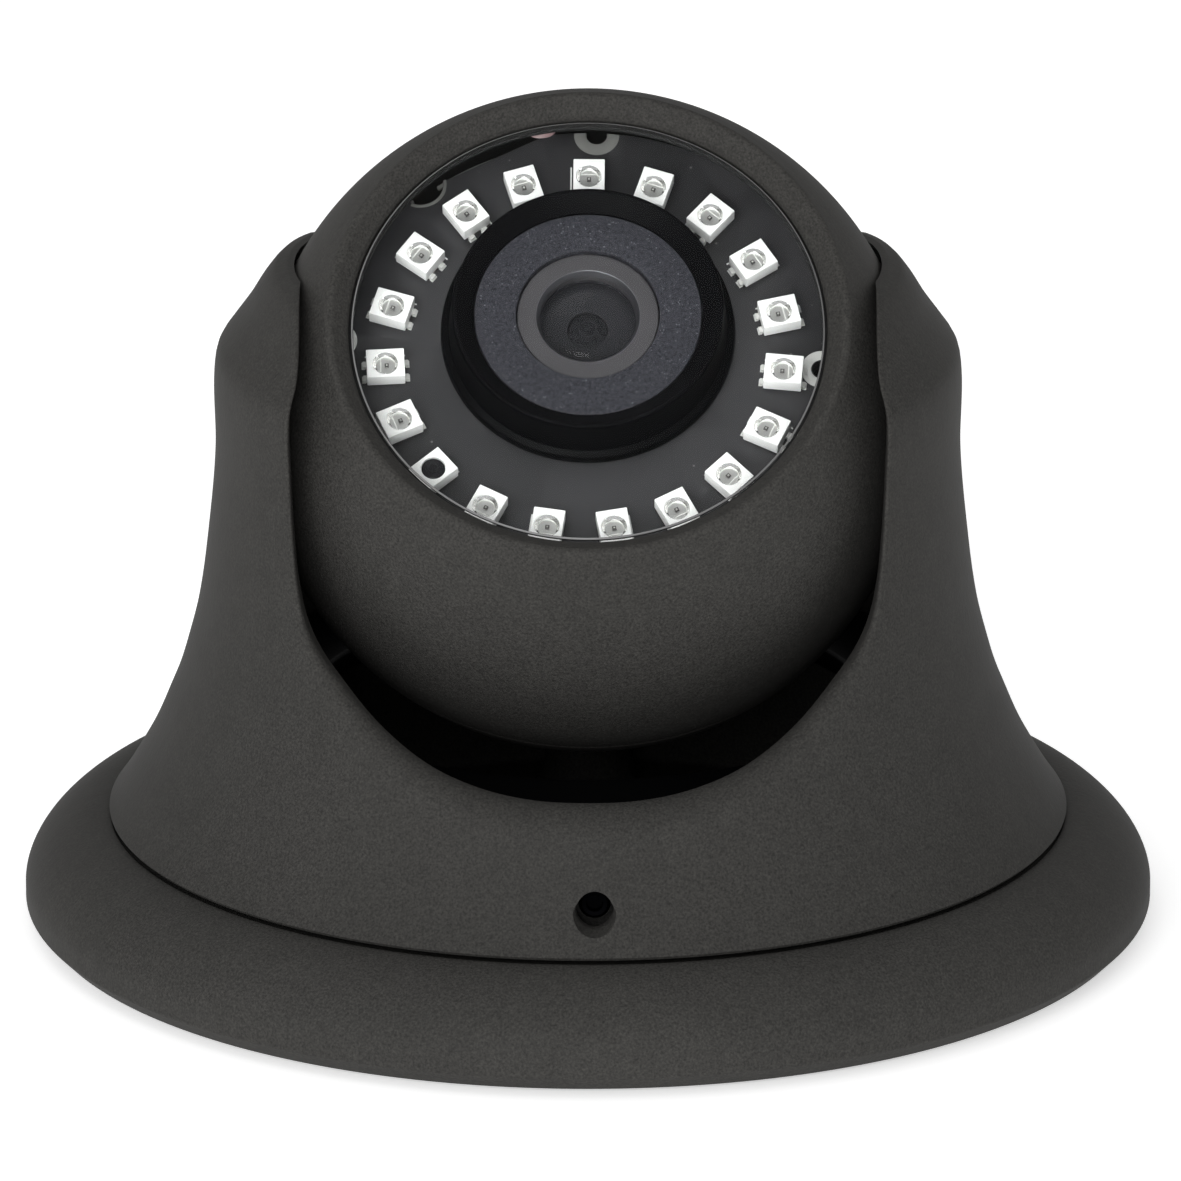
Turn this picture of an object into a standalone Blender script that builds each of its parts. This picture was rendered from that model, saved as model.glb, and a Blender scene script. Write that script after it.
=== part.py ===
"""Eyeball ("turret") security camera: a round wall base, a turning bell-shaped cover with two ears,
and a ball-shaped camera body that tilts between the ears.

Frame: metres, +Z up, origin at the centre of the base's underside, the window faces -Y.
"""

import math

import bmesh
import bpy
from mathutils import Matrix, Vector

MM = 0.001
GAP = 0.3 * MM

# ---- base, fixed to the wall or ceiling ----
BASE_RADIUS = 52.6 * MM
BASE_FOOT_RADIUS = 51.1 * MM
BASE_EDGE_TOP = 3.1 * MM
SHOULDER_EXPONENT = 1.35
BASE_FLOOR = 2.6 * MM
SEAM_HEIGHT = 9.6 * MM
SEAM_RADIUS = 44.9 * MM
SPIGOT_OUTER = 37.4 * MM
SPIGOT_INNER = 34.6 * MM
SPIGOT_TOP = 16.4 * MM
CABLE_HOLE_RADIUS = 8.0 * MM
BOSS_CIRCLE = 28.8 * MM
BOSS_ANGLES = (90, 210, 330)
BOSS_RADIUS = 3.6 * MM
BOSS_TOP = 18.3 * MM
MOUNT_HOLE_CIRCLE = 20.0 * MM
MOUNT_HOLE_ANGLES = (30, 150, 270)
MOUNT_HOLE_RADIUS = 2.2 * MM

# ---- turning cover ----
FLANGE_Z = (16.8 * MM, 18.6 * MM)
FLANGE_INNER = 33.2 * MM
RING_Z = (18.9 * MM, 20.9 * MM)
RING_RADII = (25.6 * MM, 35.4 * MM)
LOCK_HOLE_HEIGHT = 13.7 * MM
LOCK_HOLE_RADIUS = 1.75 * MM

# ---- ball ----
BALL_RADIUS = 30.7 * MM
BALL_WALL = 2.5 * MM
BALL_CENTRE = Vector((0, 0, 47.3 * MM))
AXIS_ELEVATION = math.radians(45.0)
RIM_Z = 17.9 * MM
RIM_RADIUS = 21.9 * MM
CHAMFER_RADIUS = 23.55 * MM
SPLIT_Z = -9.0 * MM
PIVOT_RADIUS = 2.0 * MM

# ---- what is in the ball, along its optical axis ----
GLASS_Z = (17.1 * MM, 17.75 * MM)
BOARD_Z = (9.9 * MM, 11.5 * MM)
BOARD_RADIUS = 24.0 * MM
BOARD_HOLE_CIRCLE = 22.4 * MM
LED_COUNT = 19
SENSOR_INDEX = 12
LED_CIRCLE = 18.35 * MM
LED_SIZE = (2.9 * MM, 3.5 * MM, 1.6 * MM)
LENS_OFFSET = 2.75 * MM
HOOD_FLANGE_RADIUS = 13.55 * MM
HOOD_RIM_RADIUS = 12.45 * MM
HOOD_FRONT = 16.8 * MM
PLATE_Z = (14.6 * MM, 15.4 * MM)
PLATE_RADIUS = 10.3 * MM
BARREL_FRONT = 15.0 * MM
BARREL_RING_RADIUS = 6.5 * MM
LENS_RADIUS = 4.25 * MM
FILTER_TRAVEL = 6.4 * MM

SEGMENTS = 48


# ---- scene, collections and materials ----
for old in list(bpy.data.objects):
    bpy.data.objects.remove(old, do_unlink=True)

parts = bpy.data.collections.new("dome_cctv_camera")
cutters = bpy.data.collections.new("cutters")
bpy.context.scene.collection.children.link(parts)
bpy.context.scene.collection.children.link(cutters)


def material(name, colour, roughness, metallic=0.0, transmission=0.0):
    """A Principled material with one colour."""
    m = bpy.data.materials.new(name)
    m.use_nodes = True
    shader = m.node_tree.nodes["Principled BSDF"]
    shader.inputs["Base Color"].default_value = (*colour, 1.0)
    shader.inputs["Roughness"].default_value = roughness
    shader.inputs["Metallic"].default_value = metallic
    shader.inputs["Transmission Weight"].default_value = transmission
    m.diffuse_color = (*colour, 1.0)
    return m


POWDER_COAT = material("powder_coat", (0.055, 0.054, 0.052), 0.55, 0.2)
BLACK_PLASTIC = material("black_plastic", (0.012, 0.012, 0.013), 0.4)
RUBBER = material("rubber", (0.02, 0.02, 0.02), 0.8)
NYLON = material("nylon", (0.7, 0.69, 0.65), 0.5)
STEEL = material("steel", (0.55, 0.55, 0.55), 0.3, 1.0)
GLASS = material("window_glass", (0.9, 0.93, 0.93), 0.02, 0.0, 1.0)
BOARD = material("circuit_board", (0.012, 0.013, 0.013), 0.35)
LED_WHITE = material("led_package", (0.8, 0.8, 0.78), 0.35)
SENSOR_BLACK = material("sensor_package", (0.02, 0.02, 0.025), 0.15)
TEXTURED = material("textured_plate", (0.03, 0.032, 0.038), 0.5, 0.3)
LENS_METAL = material("lens_metal", (0.09, 0.09, 0.095), 0.35, 0.8)
LENS_GLASS = material("lens_glass", (0.02, 0.02, 0.03), 0.03)
FILTER_GLASS = material("filter_glass", (0.35, 0.1, 0.12), 0.05)


# ---- helpers ----
def link(obj, mat=None, parent=None, collection=parts):
    collection.objects.link(obj)
    if mat is not None:
        obj.data.materials.clear()
        obj.data.materials.append(mat)
    if parent is not None:
        obj.parent = parent
    return obj


def empty(name, location, rotation=(0, 0, 0), parent=None):
    e = bpy.data.objects.new(name, None)
    e.location = location
    e.rotation_euler = rotation
    e.empty_display_size = 0.02
    return link(e, parent=parent)


def as_mesh(obj):
    """A new mesh of the object as its modifiers leave it."""
    depsgraph = bpy.context.evaluated_depsgraph_get()
    depsgraph.update()
    return bpy.data.meshes.new_from_object(obj.evaluated_get(depsgraph), depsgraph=depsgraph)


def smooth(mesh, angle=35):
    mesh.shade_smooth()
    mesh.set_sharp_from_angle(angle=math.radians(angle))


def turned(name, profile, mat=None, parent=None, steps=SEGMENTS, ring=True, collection=parts):
    """Turns (radius, height) points about Z. A ring's profile is a closed loop, and a solid's starts
    and ends on the axis. Both run down the outer side."""
    mesh = bpy.data.meshes.new(name)
    count = len(profile)
    edges = [(i, (i + 1) % count) for i in range(count if ring else count - 1)]
    mesh.from_pydata([(r, 0, z) for r, z in profile], edges, [])
    obj = bpy.data.objects.new(name, mesh)
    link(obj, None, parent, collection)
    screw = obj.modifiers.new("turn", "SCREW")
    screw.axis = "Z"
    screw.angle = math.tau
    screw.steps = steps
    screw.render_steps = steps
    screw.use_merge_vertices = True
    screw.merge_threshold = 0.00001
    solid = as_mesh(obj)
    obj.modifiers.clear()
    obj.data = solid
    bpy.data.meshes.remove(mesh)
    solid.name = name
    smooth(solid)
    if mat is not None:
        solid.materials.clear()
        solid.materials.append(mat)
    return obj


def cylinder(name, radius, bottom, top, mat=None, parent=None, steps=24, collection=parts):
    profile = [(0, top), (radius, top), (radius, bottom), (0, bottom)]
    return turned(name, profile, mat, parent, steps, False, collection)


def box(name, size, centre, mat=None, parent=None, collection=parts, bevel=0.0):
    mesh = bpy.data.meshes.new(name)
    bm = bmesh.new()
    bmesh.ops.create_cube(bm, size=1.0, matrix=Matrix.Diagonal((*size, 1.0)))
    bm.to_mesh(mesh)
    bm.free()
    obj = bpy.data.objects.new(name, mesh)
    link(obj, mat, parent, collection)
    obj.location = centre
    if bevel:
        edge = obj.modifiers.new("edges", "BEVEL")
        edge.width = bevel
        edge.segments = 1
    return obj


def as_cutter(obj):
    obj.hide_render = True
    obj.display_type = "WIRE"
    return obj


def cut(target, cutter, operation="DIFFERENCE"):
    """Joins or cuts the target with a wire-display helper object."""
    as_cutter(cutter)
    boolean = target.modifiers.new(cutter.name, "BOOLEAN")
    boolean.operation = operation
    boolean.solver = "EXACT"
    boolean.object = cutter
    return target


def sphere_arc(radius, z_from, z_to, count, centre_z=0.0):
    """Points of a sphere's outline between two heights, evenly spaced in angle."""
    a0 = math.asin((z_from - centre_z) / radius)
    a1 = math.asin((z_to - centre_z) / radius)
    points = []
    for i in range(count):
        a = a0 + (a1 - a0) * i / (count - 1)
        points.append((radius * math.cos(a), centre_z + radius * math.sin(a)))
    return points


def around(radius, angle):
    """The point at this radius and angle in degrees."""
    a = math.radians(angle)
    return (radius * math.cos(a), radius * math.sin(a))


def copies(name, source, radius, angles):
    """One helper mesh with a copy of the source at each angle round Z. The source is used up."""
    bm = bmesh.new()
    for angle in angles:
        x, y = around(radius, angle)
        part = source.data.copy()
        part.transform(Matrix.Translation((x, y, 0)))
        bm.from_mesh(part)
        bpy.data.meshes.remove(part)
    bpy.data.objects.remove(source, do_unlink=True)
    mesh = bpy.data.meshes.new(name)
    bm.to_mesh(mesh)
    bm.free()
    return link(bpy.data.objects.new(name, mesh), collection=cutters)


# ---- joint frames ----
pan_axis = empty("pan_axis", (0, 0, 0))
tilt_axis = empty("tilt_axis", BALL_CENTRE, (math.pi / 2 - AXIS_ELEVATION, 0, 0), pan_axis)
filter_axis = empty("filter_axis", (0, LENS_OFFSET, 0), parent=tilt_axis)


# ---- base ----
def make_base():
    shoulder = []
    for i in range(6):
        a = math.radians(90 * i / 5)
        r = SEAM_RADIUS + (BASE_RADIUS - SEAM_RADIUS) * math.sin(a) ** SHOULDER_EXPONENT
        z = BASE_EDGE_TOP + (SEAM_HEIGHT - BASE_EDGE_TOP) * max(0.0, math.cos(a)) ** SHOULDER_EXPONENT
        shoulder.append((r, z))
    profile = [(SPIGOT_OUTER, SPIGOT_TOP), (SPIGOT_OUTER, SEAM_HEIGHT)]
    profile += shoulder
    profile += [
        (BASE_RADIUS, 1.3 * MM),
        (BASE_FOOT_RADIUS, 0),
        (48.6 * MM, 0),
        (48.6 * MM, 1.1 * MM),
        (45.9 * MM, 1.1 * MM),
        (45.9 * MM, 0),
        (CABLE_HOLE_RADIUS, 0),
        (CABLE_HOLE_RADIUS, BASE_FLOOR),
        (SPIGOT_INNER, BASE_FLOOR),
        (SPIGOT_INNER, SPIGOT_TOP),
    ]
    base = turned("base_plate", profile, POWDER_COAT)
    boss = [
        (0, 9 * MM),
        (1.3 * MM, 9 * MM),
        (1.3 * MM, BOSS_TOP),
        (BOSS_RADIUS, BOSS_TOP),
        (BOSS_RADIUS, 1.5 * MM),
        (0, 1.5 * MM),
    ]
    bosses = copies("bosses", turned("boss", boss, steps=20, ring=False), BOSS_CIRCLE, BOSS_ANGLES)
    cut(base, bosses, "UNION")
    hole = cylinder("mount_hole", MOUNT_HOLE_RADIUS, -5 * MM, 8 * MM, steps=20)
    cut(base, copies("mount_holes", hole, MOUNT_HOLE_CIRCLE, MOUNT_HOLE_ANGLES))
    return base


make_base()

gasket_profile = [(48.2 * MM, 0.75 * MM), (48.2 * MM, 0), (46.3 * MM, 0), (46.3 * MM, 0.75 * MM)]
turned("wall_gasket", gasket_profile, RUBBER, steps=40)

gland_profile = [
    (9.6 * MM, 4.4 * MM),
    (9.6 * MM, BASE_FLOOR + GAP),
    (CABLE_HOLE_RADIUS - GAP, BASE_FLOOR + GAP),
    (CABLE_HOLE_RADIUS - GAP, 0.4 * MM),
    (4.2 * MM, 0.4 * MM),
    (4.2 * MM, 6.4 * MM),
    (6.0 * MM, 6.4 * MM),
    (6.6 * MM, 4.4 * MM),
]
turned("cable_gland", gland_profile, RUBBER, steps=20)


# ---- ring that keeps the cover on the base, and its screws ----
ring_profile = [
    (RING_RADII[1], RING_Z[1]),
    (RING_RADII[1], RING_Z[0]),
    (RING_RADII[0], RING_Z[0]),
    (RING_RADII[0], RING_Z[1]),
]
pan_ring = turned("pan_ring", ring_profile, BLACK_PLASTIC, steps=40)
ring_hole = cylinder("ring_hole", 1.6 * MM, 15 * MM, 25 * MM, steps=16)
cut(pan_ring, copies("ring_holes", ring_hole, BOSS_CIRCLE, BOSS_ANGLES))
for i, angle in enumerate(BOSS_ANGLES):
    x, y = around(BOSS_CIRCLE, angle)
    screw_profile = [
        (0, 23.0 * MM),
        (1.4 * MM, 23.0 * MM),
        (2.4 * MM, 22.4 * MM),
        (2.6 * MM, RING_Z[1] + GAP),
        (1.0 * MM, RING_Z[1] + GAP),
        (1.0 * MM, 10.5 * MM),
        (0, 10.5 * MM),
    ]
    screw = turned(f"ring_screw_{i + 1}", screw_profile, STEEL, steps=12, ring=False)
    screw.location = (x, y, 0)


# ---- turning cover ----
COVER_OUTER = [
    (27.9, 62.45),
    (28.8, 62.1),
    (30.1, 60.6),
    (31.6, 58.2),
    (33.4, 55.7),
    (34.2, 54.6),
    (34.55, 53.0),
    (34.5, 45.0),
    (35.1, 38.0),
    (36.2, 30.0),
    (37.2, 26.0),
    (38.1, 23.0),
    (39.1, 20.5),
    (40.6, 17.0),
    (42.3, 13.9),
    (43.9, 11.3),
    (44.7, 10.2),
]


def cover_profile():
    """The bell's outside, run down to the seam, and its inside, run up past the flange to the ears'
    ball-shaped seat."""
    outer = [(r * MM, z * MM) for r, z in COVER_OUTER]
    bottom = [
        (44.7 * MM, SEAM_HEIGHT + GAP),
        (42.2 * MM, SEAM_HEIGHT + GAP),
        (40.2 * MM, 12.8 * MM),
        (38.4 * MM, FLANGE_Z[0]),
        (FLANGE_INNER, FLANGE_Z[0]),
        (FLANGE_INNER, FLANGE_Z[1]),
        (37.3 * MM, FLANGE_Z[1]),
    ]
    inner = [
        (36.0 * MM, 21.6 * MM),
        (34.4 * MM, 26.4 * MM),
        (33.4 * MM, 31.4 * MM),
        (32.6 * MM, 37.8 * MM),
        (32.1 * MM, 43.7 * MM),
        (32.1 * MM, 52.1 * MM),
    ]
    seat = sphere_arc(31.05 * MM, 53.7 * MM, 62.45 * MM, 5, BALL_CENTRE.z)
    return outer + bottom + inner + seat


# half of the opening's outline seen from the front, from the middle of its bottom up one side
OPENING = [
    (0, 22.2),
    (5.0, 22.4),
    (9.7, 23.1),
    (14.4, 24.8),
    (18.9, 27.4),
    (22.6, 30.6),
    (24.4, 32.6),
    (25.6, 34.8),
    (26.3, 37.5),
    (26.8, 42.0),
    (27.1, 48.0),
    (27.2, 54.0),
    (26.4, 57.0),
    (26.4, 70.0),
]


def opening_outline():
    """The U-shaped opening seen from the front."""
    half = [(x * MM, z * MM) for x, z in OPENING]
    return half + [(-x, z) for x, z in reversed(half[1:])]


def make_opening():
    """One straight cut, front to back, that leaves the two ears."""
    outline = opening_outline()
    mesh = bpy.data.meshes.new("ear_opening")
    bm = bmesh.new()
    front = [bm.verts.new((x, -60 * MM, z)) for x, z in outline]
    face = bm.faces.new(front)
    pushed = bmesh.ops.extrude_face_region(bm, geom=[face])
    moved = [v for v in pushed["geom"] if isinstance(v, bmesh.types.BMVert)]
    bmesh.ops.translate(bm, verts=moved, vec=(0, 120 * MM, 0))
    bmesh.ops.recalc_face_normals(bm, faces=bm.faces)
    bm.to_mesh(mesh)
    bm.free()
    return link(bpy.data.objects.new("ear_opening", mesh), collection=cutters)


cover = turned("turret_cover", cover_profile(), POWDER_COAT, pan_axis)
cut(cover, make_opening())
lock_bore = cylinder("lock_bore", LOCK_HOLE_RADIUS, 36 * MM, 50 * MM, collection=cutters, steps=20)
lock_bore.location = (0.6 * MM, 0, LOCK_HOLE_HEIGHT)
lock_bore.rotation_euler = (math.pi / 2, 0, 0)
cut(cover, lock_bore)

lock_profile = [
    (0, 38.9 * MM),
    (0.7 * MM, 38.9 * MM),
    (0.7 * MM, 39.7 * MM),
    (1.2 * MM, 39.7 * MM),
    (1.45 * MM, 39.4 * MM),
    (1.45 * MM, SPIGOT_OUTER + 0.7 * MM),
    (0.9 * MM, SPIGOT_OUTER + GAP),
    (0, SPIGOT_OUTER + GAP),
]
lock_screw = turned("pan_lock_screw", lock_profile, STEEL, pan_axis, 16, False)
lock_screw.location = (0.6 * MM, 0, LOCK_HOLE_HEIGHT)
lock_screw.rotation_euler = (math.pi / 2, 0, 0)

for side, name in ((-1, "l"), (1, "r")):
    turn = (0, side * math.pi / 2, 0)
    ear_bore = cylinder(f"ear_bore_{name}", 2.35 * MM, 25 * MM, 33.9 * MM, collection=cutters, steps=20)
    ear_bore.location = BALL_CENTRE
    ear_bore.rotation_euler = turn
    cut(cover, ear_bore)
    pin_profile = [
        (0, 33.6 * MM),
        (PIVOT_RADIUS, 33.6 * MM),
        (PIVOT_RADIUS, 27.4 * MM),
        (PIVOT_RADIUS - 0.4 * MM, 27.0 * MM),
        (0, 27.0 * MM),
    ]
    pin = turned(f"pivot_pin_{name}", pin_profile, STEEL, pan_axis, 20, False)
    pin.location = BALL_CENTRE
    pin.rotation_euler = turn
    washer_profile = [(4.2 * MM, 31.5 * MM), (4.2 * MM, 31.05 * MM), (2.3 * MM, 31.05 * MM), (2.3 * MM, 31.5 * MM)]
    washer = turned(f"pivot_washer_{name}", washer_profile, NYLON, pan_axis, 20)
    washer.location = BALL_CENTRE
    washer.rotation_euler = turn


# ---- ball shells, in the frame of the optical axis ----
def make_ball():
    chamfer_z = math.sqrt(BALL_RADIUS**2 - CHAMFER_RADIUS**2)
    outside = sphere_arc(BALL_RADIUS, chamfer_z, SPLIT_Z, 10)
    inside = sphere_arc(BALL_RADIUS - BALL_WALL, SPLIT_Z, 17.1 * MM, 7)
    rim = [(RIM_RADIUS, 17.1 * MM), (RIM_RADIUS, RIM_Z)]
    front = turned("ball_front", outside + inside + rim, POWDER_COAT, tilt_axis)
    back_outside = sphere_arc(BALL_RADIUS, SPLIT_Z - GAP, -29.9 * MM, 8)
    hole = 4.0 * MM
    back_z = math.sqrt(BALL_RADIUS**2 - hole**2)
    inner_z = math.sqrt((BALL_RADIUS - BALL_WALL) ** 2 - hole**2)
    back_inside = sphere_arc(BALL_RADIUS - BALL_WALL, -inner_z, SPLIT_Z - GAP, 6)
    back = back_outside + [(hole, -back_z)] + back_inside
    rear = turned("ball_rear", back, POWDER_COAT, tilt_axis)
    for side, name in ((-1, "l"), (1, "r")):
        bore = cylinder(f"ball_bore_{name}", 2.3 * MM, 20 * MM, 40 * MM, collection=cutters, steps=20)
        bore.parent = tilt_axis
        bore.rotation_euler = (0, side * math.pi / 2, 0)
        cut(front, bore)
    return front, rear


make_ball()

seal = [(25.7 * MM, -7.9 * MM), (25.7 * MM, -10.4 * MM), (24.8 * MM, -10.4 * MM), (24.8 * MM, -7.9 * MM)]
turned("ball_seal", seal, RUBBER, tilt_axis, 36)

plug = [
    (0, -27.0 * MM),
    (5.0 * MM, -27.0 * MM),
    (5.0 * MM, -27.55 * MM),
    (3.7 * MM, -27.55 * MM),
    (3.7 * MM, -31.0 * MM),
    (2.9 * MM, -31.4 * MM),
    (0, -31.4 * MM),
]
turned("ball_cable_seal", plug, RUBBER, tilt_axis, 16, False)


# ---- window ----
glass_edge = RIM_RADIUS - GAP
glass = [(0, GLASS_Z[1]), (glass_edge, GLASS_Z[1]), (glass_edge, GLASS_Z[0]), (0, GLASS_Z[0])]
turned("front_glass", glass, GLASS, tilt_axis, SEGMENTS, False)

spacer = [
    (22.0 * MM, GLASS_Z[0] - GAP),
    (22.0 * MM, BOARD_Z[1] + GAP),
    (21.2 * MM, BOARD_Z[1] + GAP),
    (21.2 * MM, GLASS_Z[0] - GAP),
]
turned("glass_gasket", spacer, RUBBER, tilt_axis, 40)


# ---- infrared board and its packages ----
board = turned("led_board", [
    (0, BOARD_Z[1]),
    (BOARD_RADIUS, BOARD_Z[1]),
    (BOARD_RADIUS, BOARD_Z[0]),
    (0, BOARD_Z[0]),
], BOARD, tilt_axis, 40, False)
lens_hole = cylinder("lens_hole", 8.2 * MM, 5 * MM, 20 * MM, collection=cutters, steps=32)
lens_hole.parent = tilt_axis
lens_hole.location = (0, LENS_OFFSET, 0)
cut(board, lens_hole)
board_hole = cylinder("board_hole", 0.9 * MM, 5 * MM, 20 * MM, steps=12)
board_holes = copies("board_holes", board_hole, BOARD_HOLE_CIRCLE, (0, 90, 180))
board_holes.parent = tilt_axis
cut(board, board_holes)


def package_mesh():
    """A surface-mount package with a round cup in its top."""
    body = box("package", LED_SIZE, (0, 0, 0), collection=cutters)
    cup = [
        (0, 2 * MM),
        (1.2 * MM, 2 * MM),
        (1.2 * MM, 0.8 * MM),
        (0.85 * MM, 0.15 * MM),
        (0, 0.15 * MM),
    ]
    cup_cutter = turned("package_cup", cup, steps=12, ring=False, collection=cutters)
    cut(body, cup_cutter)
    mesh = as_mesh(body)
    bpy.data.objects.remove(body)
    bpy.data.objects.remove(cup_cutter)
    return mesh


led_mesh = package_mesh()
led_number = 0
for i in range(LED_COUNT):
    turn = -math.tau * i / LED_COUNT
    place = Matrix.Rotation(turn, 4, "Z") @ Vector((0, LED_CIRCLE, 0))
    if i == SENSOR_INDEX:
        name, mesh, mat = "light_sensor", led_mesh.copy(), SENSOR_BLACK
    else:
        led_number += 1
        name, mesh, mat = f"led_{led_number:02d}", led_mesh, LED_WHITE
    package = link(bpy.data.objects.new(name, mesh), mat, tilt_axis)
    package.location = (place.x, place.y, BOARD_Z[1] + GAP + LED_SIZE[2] / 2)
    package.rotation_euler = (0, 0, turn)


# ---- hood and lens ----
hood_profile = [
    (11.55 * MM, HOOD_FRONT),
    (HOOD_RIM_RADIUS - 0.15 * MM, HOOD_FRONT),
    (HOOD_RIM_RADIUS, HOOD_FRONT - 0.2 * MM),
    (12.9 * MM, 13.1 * MM),
    (HOOD_FLANGE_RADIUS, 12.95 * MM),
    (HOOD_FLANGE_RADIUS, BOARD_Z[1] + GAP),
    (10.0 * MM, BOARD_Z[1] + GAP),
    (10.0 * MM, PLATE_Z[0] - GAP),
    (10.6 * MM, PLATE_Z[0] - GAP),
    (10.6 * MM, PLATE_Z[1] + 0.1 * MM),
]
hood = turned("lens_hood", hood_profile, BLACK_PLASTIC, tilt_axis, 36)
hood.location = (0, LENS_OFFSET, 0)

plate_profile = [
    (PLATE_RADIUS, PLATE_Z[1]),
    (PLATE_RADIUS, PLATE_Z[0]),
    (6.9 * MM, PLATE_Z[0]),
    (6.9 * MM, PLATE_Z[1]),
]
plate = turned("lens_plate", plate_profile, TEXTURED, tilt_axis, 36)
plate.location = (0, LENS_OFFSET, 0)

barrel_profile = [
    (6.3 * MM, BARREL_FRONT),
    (BARREL_RING_RADIUS, BARREL_FRONT - 0.2 * MM),
    (BARREL_RING_RADIUS, 13.6 * MM),
    (6.0 * MM, 13.2 * MM),
    (6.0 * MM, 1.2 * MM),
    (3.6 * MM, 1.2 * MM),
    (3.6 * MM, 12.4 * MM),
    (4.6 * MM, 12.4 * MM),
    (4.6 * MM, 14.3 * MM),
    (4.9 * MM, 14.8 * MM),
]
barrel = turned("lens_barrel", barrel_profile, LENS_METAL, tilt_axis, 28)
barrel.location = (0, LENS_OFFSET, 0)

dome = sphere_arc(9.0 * MM, 14.75 * MM, 13.9 * MM, 4, 5.75 * MM)
dome_edge = [(r, z) for r, z in dome if r < LENS_RADIUS]
lens_profile = dome_edge + [(LENS_RADIUS, 13.75 * MM), (LENS_RADIUS, 12.75 * MM), (0, 12.75 * MM)]
lens_profile[0] = (0, 14.75 * MM)
front_lens = turned("lens_front", lens_profile, LENS_GLASS, tilt_axis, 28, False)
front_lens.location = (0, LENS_OFFSET, 0)


# ---- lens mount, switching filter, image sensor ----
def make_holder():
    """A block with the lens tube on top and a flat slot across it for the filter carriage."""
    holder = box("lens_holder", (22 * MM, 15 * MM, 7.6 * MM), (0, LENS_OFFSET, -0.6 * MM), BLACK_PLASTIC, tilt_axis)
    tube = cylinder("holder_tube", 7.4 * MM, 1 * MM, 9.0 * MM, collection=cutters, steps=32)
    tube.parent = tilt_axis
    tube.location = (0, LENS_OFFSET, 0)
    cut(holder, tube, "UNION")
    thread = cylinder("holder_thread", 6.35 * MM, 0.9 * MM, 12 * MM, collection=cutters, steps=32)
    thread.parent = tilt_axis
    thread.location = (0, LENS_OFFSET, 0)
    cut(holder, thread)
    light_path = cylinder("holder_light_path", 4.2 * MM, -8 * MM, 2 * MM, collection=cutters)
    light_path.parent = tilt_axis
    light_path.location = (0, LENS_OFFSET, 0)
    cut(holder, light_path)
    slot = box("filter_slot", (40 * MM, 9.6 * MM, 1.8 * MM), (0, LENS_OFFSET, -0.7 * MM), collection=cutters)
    slot.parent = tilt_axis
    cut(holder, slot)
    pocket = box("sensor_pocket", (9.2 * MM, 8.6 * MM, 2.4 * MM), (0, LENS_OFFSET, -4.4 * MM), collection=cutters)
    pocket.parent = tilt_axis
    cut(holder, pocket)
    return holder


make_holder()


def make_carriage():
    """The sliding plate: a clear hole for night, and a filter for day over the light path."""
    carriage = box("ir_filter_slide", (15.2 * MM, 9.0 * MM, 1.1 * MM), (0, 0, 0), BLACK_PLASTIC, filter_axis)
    carriage.location = (-FILTER_TRAVEL / 2, 0, -0.7 * MM)
    for name, x in (("day_window", 0), ("night_window", -FILTER_TRAVEL)):
        hole = cylinder(name, 2.8 * MM, -5 * MM, 5 * MM, collection=cutters, steps=20)
        hole.parent = filter_axis
        hole.location = (x, 0, 0)
        cut(carriage, hole)
    return carriage


make_carriage()
cylinder("ir_filter_glass", 2.5 * MM, -1.1 * MM, -0.4 * MM, FILTER_GLASS, filter_axis, 20)

box("image_sensor", (7.4 * MM, 6.8 * MM, 0.8 * MM), (0, LENS_OFFSET, -4.0 * MM), SENSOR_BLACK, tilt_axis)


def make_sensor_board():
    plate = box("sensor_board", (38 * MM, 36 * MM, 1.6 * MM), (0, 0, -5.4 * MM), BOARD, tilt_axis)
    plate.location = (0, 0, -5.5 * MM)
    return plate


make_sensor_board()

for name, angle in (("a", 90), ("b", 210), ("c", 330)):
    x, y = around(15.4 * MM, angle)
    post = cylinder(f"board_post_{name}", 1.9 * MM, -4.4 * MM, BOARD_Z[0] - GAP, NYLON, tilt_axis, 12)
    post.location = (x, y, 0)
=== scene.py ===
"""Looks of an eyeball security camera: powder-coated base, bell cover and tilting ball, and behind the
ball's window an infrared board, a lens hood and a lens.

Lengths below are in millimetres and MM turns them into metres. The window faces -Y.
"""

import math
import random

import bmesh
import bpy
from mathutils import Matrix, Vector


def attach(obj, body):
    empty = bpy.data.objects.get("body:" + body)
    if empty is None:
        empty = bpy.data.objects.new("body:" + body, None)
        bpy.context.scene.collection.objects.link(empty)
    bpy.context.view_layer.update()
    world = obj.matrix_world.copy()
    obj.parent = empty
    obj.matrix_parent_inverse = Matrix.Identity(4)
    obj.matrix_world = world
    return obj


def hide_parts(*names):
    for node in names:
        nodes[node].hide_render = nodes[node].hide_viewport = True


MM = 0.001

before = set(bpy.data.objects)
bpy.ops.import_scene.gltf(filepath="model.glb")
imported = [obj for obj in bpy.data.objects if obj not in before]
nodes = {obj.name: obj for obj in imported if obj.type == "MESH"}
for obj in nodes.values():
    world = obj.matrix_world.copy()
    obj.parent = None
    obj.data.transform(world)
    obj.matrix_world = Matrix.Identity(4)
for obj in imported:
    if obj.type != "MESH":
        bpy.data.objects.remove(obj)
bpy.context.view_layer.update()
for node in nodes.values():
    node.data.materials.clear()

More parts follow.
